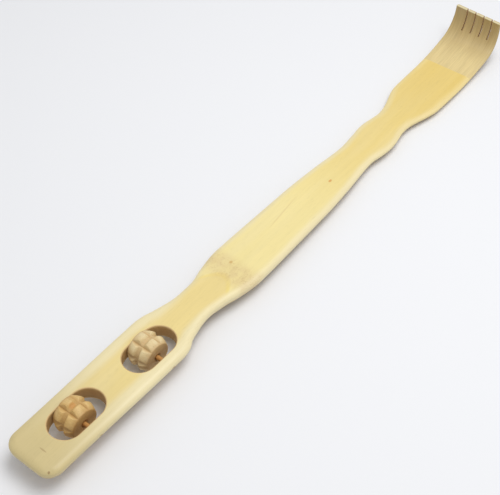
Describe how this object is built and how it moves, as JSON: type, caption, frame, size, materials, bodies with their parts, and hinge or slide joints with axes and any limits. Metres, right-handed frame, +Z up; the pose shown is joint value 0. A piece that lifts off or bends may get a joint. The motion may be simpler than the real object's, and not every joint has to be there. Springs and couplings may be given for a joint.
{
  "type": "back scratcher",
  "caption": "Flat bamboo back scratcher with a bent, slit claw at its end and free-turning grooved wooden massage rollers on pins in windows of its handle.",
  "frame": {"origin": "on the table under the middle of the whole object's box, as it lies on its inner roller and the heel of its claw", "axes": "+X along the object from the handle's end to the claw, +Y across it, +Z up, the way the claw curls and the planed face looks"},
  "size_m": [0.5034, 0.0434, 0.0319],
  "materials": {
    "bamboo": "planed and lightly sanded pale bamboo, satin, with fine lengthwise fibres",
    "pin_bamboo": "round bamboo stick, orange-brown, matt",
    "roller_wood_orange": "turned wood, tan with a more orange ridge, smooth, unvarnished",
    "roller_wood_pale": "turned wood, pale tan, smooth, unvarnished"
  },
  "bodies": {
    "slat": {"bamboo_slat": "bamboo", "outer_pin": "pin_bamboo", "inner_pin": "pin_bamboo"},
    "outer_roller": {"outer_roller": "roller_wood_orange"},
    "inner_roller": {"inner_roller": "roller_wood_pale"}
  },
  "joints": [
    {"name": "outer_roller_turn", "type": "hinge", "parent": "slat", "child": "outer_roller", "pos_m": [-0.21126, 0, 0.01369], "axis": [0, 1, 0], "continuous": true},
    {"name": "inner_roller_turn", "type": "hinge", "parent": "slat", "child": "inner_roller", "pos_m": [-0.14919, 0, 0.01169], "axis": [0, 1, 0], "continuous": true}
  ]
}
